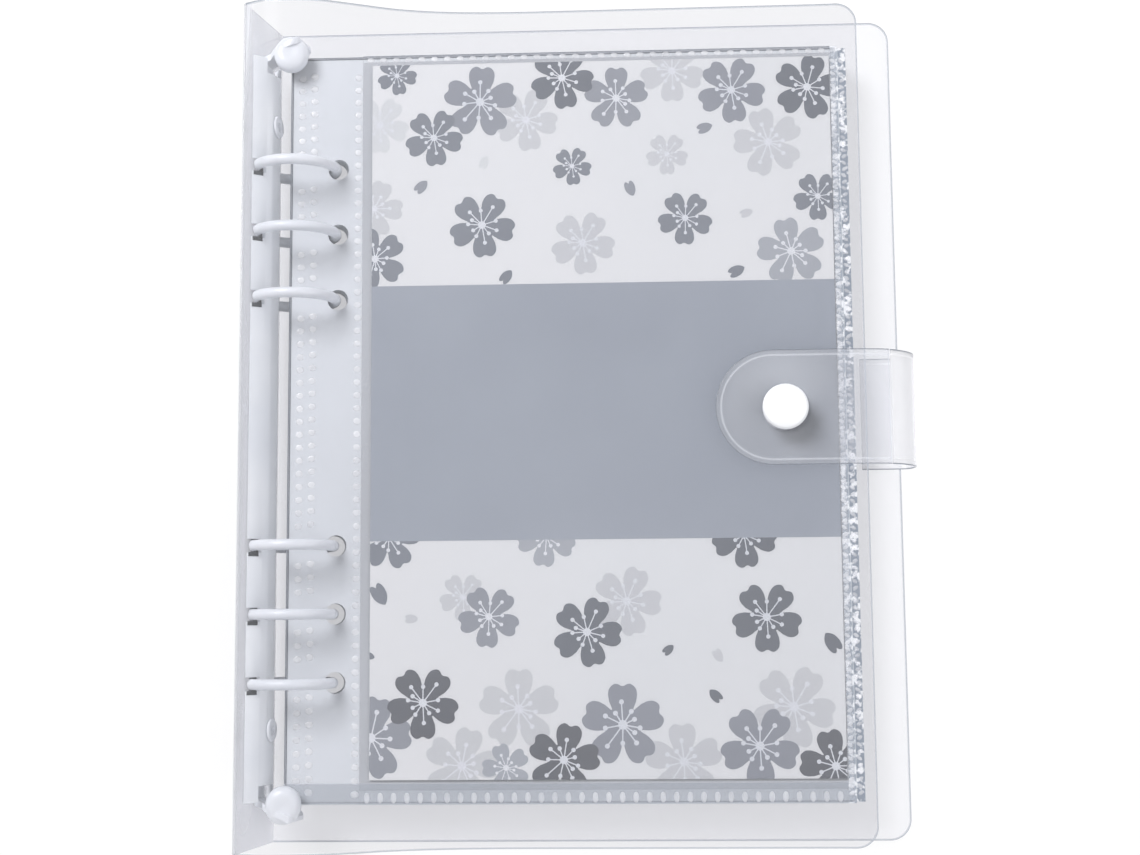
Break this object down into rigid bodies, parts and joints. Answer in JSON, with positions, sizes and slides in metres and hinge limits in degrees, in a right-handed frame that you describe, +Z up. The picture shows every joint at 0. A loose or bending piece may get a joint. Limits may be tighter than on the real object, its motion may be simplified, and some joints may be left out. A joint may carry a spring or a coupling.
{
  "type": "cash envelope wallet",
  "caption": "Clear film ring binder for cash envelopes: opening ring mechanism with end levers, punched sleeves, a printed cover card and a strap with a press stud",
  "frame": {"origin": "centre of the bounding box in X and Y, on the face the back cover lies on", "axes": "+X from the spine to the fore-edge, +Y along the spine to the binder's top, +Z up out of the front cover"},
  "size_m": [0.1882, 0.236, 0.0316],
  "materials": {
    "clear_film": "clear soft vinyl film",
    "sleeve_film": "clear sleeve film, knurled welds",
    "white_enamel": "white enamel on steel",
    "white_plastic": "white plastic",
    "printed_card": "matt card with a grey print"
  },
  "bodies": {
    "back": {"back_cover": "clear_film", "strap_loop": "clear_film"},
    "spine": {"spine_panel": "clear_film", "ring_plate": "white_enamel", "top_rivet": "white_enamel", "bottom_rivet": "white_enamel", "envelope_sleeves": "sleeve_film", "front_sleeve": "sleeve_film", "cover_card": "printed_card"},
    "front": {"front_cover": "clear_film", "snap_stud": "white_plastic", "snap_back_cap": "white_plastic"},
    "strap": {"closure_strap": "clear_film", "snap_cap": "white_plastic", "snap_socket": "white_plastic"},
    "upper_rings": {"upper_ring_rail": "white_enamel", "upper_half_ring_1": "white_enamel", "upper_half_ring_2": "white_enamel", "upper_half_ring_3": "white_enamel", "upper_half_ring_4": "white_enamel", "upper_half_ring_5": "white_enamel", "upper_half_ring_6": "white_enamel"},
    "lower_rings": {"lower_ring_rail": "white_enamel", "lower_half_ring_1": "white_enamel", "lower_half_ring_2": "white_enamel", "lower_half_ring_3": "white_enamel", "lower_half_ring_4": "white_enamel", "lower_half_ring_5": "white_enamel", "lower_half_ring_6": "white_enamel"},
    "top_end_lever": {"top_lever": "white_enamel"},
    "bottom_end_lever": {"bottom_lever": "white_enamel"}
  },
  "joints": [
    {"name": "back_fold", "type": "hinge", "parent": "back", "child": "spine", "pos_m": [-0.08933, 0, 0.0005], "axis": [0, -1, 0], "range_deg": [0, 180]},
    {"name": "front_fold", "type": "hinge", "parent": "spine", "child": "front", "pos_m": [-0.09389, 0, 0.02805], "axis": [0, -1, 0], "range_deg": [0, 180]},
    {"name": "strap_fold", "type": "hinge", "parent": "back", "child": "strap", "pos_m": [0.08567, 0.0018, 0.01941], "axis": [0, 1, 0], "range_deg": [0, 180]},
    {"name": "upper_rings_turn", "type": "hinge", "parent": "spine", "child": "upper_rings", "pos_m": [-0.09158, 0, 0.02008], "axis": [0, -1, 0], "range_deg": [0, 9.5]},
    {"name": "lower_rings_turn", "type": "hinge", "parent": "spine", "child": "lower_rings", "pos_m": [-0.08942, 0, 0.00787], "axis": [0, 1, 0], "range_deg": [0, 9.5]},
    {"name": "top_lever_turn", "type": "hinge", "parent": "spine", "child": "top_end_lever", "pos_m": [-0.09025, 0.1041, 0.01401], "axis": [-0.1736, 0, 0.9848], "range_deg": [0, 15.2]},
    {"name": "bottom_lever_turn", "type": "hinge", "parent": "spine", "child": "bottom_end_lever", "pos_m": [-0.09025, -0.1041, 0.01401], "axis": [0.1736, 0, -0.9848], "range_deg": [0, 15.2]}
  ],
  "couplings": [
    {"joint": "lower_rings_turn", "follows": "upper_rings_turn", "ratio": 1},
    {"joint": "top_lever_turn", "follows": "upper_rings_turn", "ratio": 1.6},
    {"joint": "bottom_lever_turn", "follows": "upper_rings_turn", "ratio": 1.6}
  ]
}
